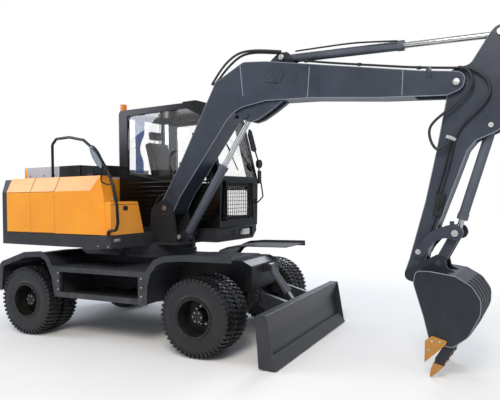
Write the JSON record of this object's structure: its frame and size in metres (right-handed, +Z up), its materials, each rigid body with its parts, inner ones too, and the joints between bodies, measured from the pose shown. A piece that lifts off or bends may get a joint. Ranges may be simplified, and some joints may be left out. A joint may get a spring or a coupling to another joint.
{
  "type": "wheeled excavator",
  "caption": "Wheeled excavator with a bent boom, hanging arm and toothed bucket, glazed cab, dozer blade, twin tyres, rear hood and opening doors.",
  "frame": {"origin": "on the ground, under the axis on which the upper structure swings", "axes": "+X forward to the blade, +Y to the machine's left (cab side), +Z up; the upper structure is parked turned 4.3 degrees clockwise from above"},
  "size_m": [6.3493, 2.4131, 3.3186],
  "materials": {
    "undercarriage_paint": "semi-gloss dark grey paint",
    "body_paint": "semi-gloss yellow-orange paint",
    "charcoal_paint": "semi-gloss charcoal paint",
    "grey_paint": "satin grey paint",
    "black_paint": "semi-gloss black paint",
    "cast_weight": "painted casting",
    "rim_paint": "dark paint",
    "tyre": "worn tread rubber",
    "rod_chrome": "polished",
    "worn_steel": "worn",
    "tool_steel": "painted and worn",
    "glass": "clear",
    "black_plastic": "grained",
    "seat_cover": "black, sewn",
    "amber_lens": "clear amber",
    "curtain_cloth": "woven",
    "lamp_lens": "clear lens",
    "engine_iron": "painted"
  },
  "bodies": {
    "chassis": {"chassis_frame": "undercarriage_paint", "swing_bearing": "undercarriage_paint", "side_steps_right": "undercarriage_paint", "side_steps_left": "undercarriage_paint", "front_axle": "undercarriage_paint", "rear_axle": "undercarriage_paint"},
    "knuckle_right": {"knuckle_right": "undercarriage_paint"},
    "knuckle_left": {"knuckle_left": "undercarriage_paint"},
    "steering_rod": {"steering_rod": "rod_chrome"},
    "wheels_front_right": {"tyres_front_right": "tyre", "rim_front_right": "rim_paint"},
    "wheels_front_left": {"tyres_front_left": "tyre", "rim_front_left": "rim_paint"},
    "wheels_rear_right": {"tyres_rear_right": "tyre", "rim_rear_right": "rim_paint"},
    "wheels_rear_left": {"tyres_rear_left": "tyre", "rim_rear_left": "rim_paint"},
    "blade": {"blade": "undercarriage_paint"},
    "blade_cylinder_barrel": {"blade_cylinder_barrel": "undercarriage_paint"},
    "blade_cylinder_rod": {"blade_cylinder_rod": "rod_chrome"},
    "upper": {"upper_deck": "charcoal_paint", "counterweight": "cast_weight", "hood_shell": "body_paint", "air_box": "grey_paint", "intake_grille": "black_plastic", "tool_box": "body_paint", "engine_block": "engine_iron", "handrails": "black_paint", "cab_shell": "black_paint", "cab_glass": "glass", "seat": "seat_cover", "seat_base": "black_plastic", "steering_column": "black_plastic", "curtain": "curtain_cloth", "front_guard": "black_paint", "mirrors": "black_plastic", "beacon": "amber_lens", "headlamp": "lamp_lens"},
    "hood_door_rear": {"hood_door_rear": "body_paint"},
    "hood_door_middle": {"hood_door_middle": "body_paint"},
    "engine_cover": {"engine_cover": "grey_paint"},
    "cab_door": {"cab_door": "black_paint", "door_glass": "glass"},
    "boom": {"boom": "charcoal_paint"},
    "boom_cylinder_barrel": {"boom_cylinder_barrel": "charcoal_paint"},
    "boom_cylinder_rod": {"boom_cylinder_rod": "rod_chrome"},
    "arm": {"arm": "charcoal_paint"},
    "arm_cylinder_barrel": {"arm_cylinder_barrel": "charcoal_paint"},
    "arm_cylinder_rod": {"arm_cylinder_rod": "rod_chrome"},
    "bucket_cylinder_barrel": {"bucket_cylinder_barrel": "charcoal_paint"},
    "bucket_cylinder_rod": {"bucket_cylinder_rod": "rod_chrome"},
    "rocker": {"rocker": "charcoal_paint"},
    "link": {"link": "charcoal_paint"},
    "bucket": {"bucket": "worn_steel", "bucket_teeth": "tool_steel"}
  },
  "joints": [
    {"name": "swing", "type": "hinge", "parent": "chassis", "child": "upper", "pos_m": [0, 0, 1.122], "axis": [0, 0, 1], "continuous": true},
    {"name": "steer_right", "type": "hinge", "parent": "chassis", "child": "knuckle_right", "pos_m": [1.27, -0.61, 0.43], "axis": [0, 0, 1], "range_deg": [-28, 28]},
    {"name": "steer_left", "type": "hinge", "parent": "chassis", "child": "knuckle_left", "pos_m": [1.27, 0.61, 0.43], "axis": [0, 0, 1], "range_deg": [-28.5, 28.5]},
    {"name": "steering_slide", "type": "slide", "parent": "chassis", "child": "steering_rod", "axis": [0, 1, 0], "range_m": [-0.08, 0.08]},
    {"name": "roll_front_right", "type": "hinge", "parent": "knuckle_right", "child": "wheels_front_right", "pos_m": [1.27, -0.8875, 0.43], "axis": [0, 1, 0], "continuous": true},
    {"name": "roll_front_left", "type": "hinge", "parent": "knuckle_left", "child": "wheels_front_left", "pos_m": [1.27, 0.8875, 0.43], "axis": [0, 1, 0], "continuous": true},
    {"name": "roll_rear_right", "type": "hinge", "parent": "chassis", "child": "wheels_rear_right", "pos_m": [-1.223, -0.8875, 0.43], "axis": [0, 1, 0], "continuous": true},
    {"name": "roll_rear_left", "type": "hinge", "parent": "chassis", "child": "wheels_rear_left", "pos_m": [-1.223, 0.8875, 0.43], "axis": [0, 1, 0], "continuous": true},
    {"name": "blade_lift", "type": "hinge", "parent": "chassis", "child": "blade", "pos_m": [1.64, 0, 0.56], "axis": [0, -1, 0], "range_deg": [-8, 25]},
    {"name": "blade_cylinder_turn", "type": "hinge", "parent": "chassis", "child": "blade_cylinder_barrel", "pos_m": [1.655, 0, 0.86], "axis": [0, -1, 0], "range_deg": [-5, 15]},
    {"name": "blade_cylinder_slide", "type": "slide", "parent": "blade_cylinder_barrel", "child": "blade_cylinder_rod", "axis": [0.6139, 0, -0.7894], "range_m": [-0.1, 0.035]},
    {"name": "boom_lift", "type": "hinge", "parent": "upper", "child": "boom", "pos_m": [0.30931, -0.08744, 1.563], "axis": [-0.075, -0.9972, 0], "range_deg": [-55, 45]},
    {"name": "boom_cylinder_turn", "type": "hinge", "parent": "upper", "child": "boom_cylinder_barrel", "pos_m": [0.53966, -0.10476, 1.21], "axis": [-0.075, -0.9972, 0], "range_deg": [-51.5, 42.5]},
    {"name": "boom_cylinder_slide", "type": "slide", "parent": "boom_cylinder_barrel", "child": "boom_cylinder_rod", "axis": [0.5578, -0.0419, 0.8289], "range_m": [-0.385, 0.315]},
    {"name": "arm_swing", "type": "hinge", "parent": "boom", "child": "arm", "pos_m": [3.82838, -0.35204, 2.752], "axis": [0.075, 0.9972, 0], "range_deg": [-95, 20]},
    {"name": "arm_cylinder_turn", "type": "hinge", "parent": "boom", "child": "arm_cylinder_barrel", "pos_m": [1.98359, -0.21333, 3.257], "axis": [0.075, 0.9972, 0], "range_deg": [-1.5, 0.5]},
    {"name": "arm_cylinder_slide", "type": "slide", "parent": "arm_cylinder_barrel", "child": "arm_cylinder_rod", "axis": [0.9965, -0.0749, -0.0373], "range_m": [-0.81, 0.175]},
    {"name": "bucket_curl", "type": "hinge", "parent": "arm", "child": "bucket", "pos_m": [3.39161, -0.3192, 0.905], "axis": [0.075, 0.9972, 0], "range_deg": [-15, 150]},
    {"name": "rocker_turn", "type": "hinge", "parent": "arm", "child": "rocker", "pos_m": [3.4664, -0.32482, 1.148], "axis": [0.075, 0.9972, 0], "range_deg": [-11.5, 109.5]},
    {"name": "link_turn", "type": "hinge", "parent": "bucket", "child": "link", "pos_m": [3.6449, -0.33824, 1.043], "axis": [-0.075, -0.9972, 0], "range_deg": [-12, 113]},
    {"name": "bucket_cylinder_turn", "type": "hinge", "parent": "arm", "child": "bucket_cylinder_barrel", "pos_m": [4.11657, -0.37371, 2.333], "axis": [0.075, 0.9972, 0], "range_deg": [-0.3, 1]},
    {"name": "bucket_cylinder_slide", "type": "slide", "parent": "bucket_cylinder_barrel", "child": "bucket_cylinder_rod", "axis": [-0.2987, 0.0225, -0.9541], "range_m": [-0.065, 0.63]},
    {"name": "cab_door_hinge", "type": "hinge", "parent": "upper", "child": "cab_door", "pos_m": [-0.50496, 1.15311, 2.1], "axis": [0, 0, 1], "range_deg": [0, 160]},
    {"name": "hood_door_rear_hinge", "type": "hinge", "parent": "upper", "child": "hood_door_rear", "pos_m": [-1.7131, -0.9773, 1.54], "axis": [0, 0, -1], "range_deg": [0, 100]},
    {"name": "hood_door_middle_hinge", "type": "hinge", "parent": "upper", "child": "hood_door_middle", "pos_m": [-0.77475, -1.04786, 1.54], "axis": [0, 0, 1], "range_deg": [0, 100]},
    {"name": "engine_cover_hinge", "type": "hinge", "parent": "upper", "child": "engine_cover", "pos_m": [-1.5955, 0.11997, 1.9753], "axis": [-0.075, -0.9972, 0], "range_deg": [0, 75]}
  ],
  "couplings": [
    {"joint": "steer_left", "follows": "steer_right", "ratio": 1},
    {"joint": "steering_slide", "follows": "steer_right", "m_per_rad": -0.1585},
    {"joint": "blade_cylinder_turn", "follows": "blade_lift", "ratio": 0.5637},
    {"joint": "blade_cylinder_slide", "follows": "blade_lift", "m_per_rad": -0.21354},
    {"joint": "boom_cylinder_turn", "follows": "boom_lift", "ratio": 0.9284},
    {"joint": "boom_cylinder_slide", "follows": "boom_lift", "m_per_rad": 0.37007},
    {"joint": "arm_cylinder_turn", "follows": "arm_swing", "ratio": 0.0113},
    {"joint": "arm_cylinder_slide", "follows": "arm_swing", "m_per_rad": 0.483},
    {"joint": "rocker_turn", "follows": "bucket_curl", "ratio": 0.7232},
    {"joint": "link_turn", "follows": "bucket_curl", "ratio": 0.7455},
    {"joint": "bucket_cylinder_turn", "follows": "bucket_curl", "ratio": 0.0055},
    {"joint": "bucket_cylinder_slide", "follows": "bucket_curl", "m_per_rad": 0.23755}
  ]
}
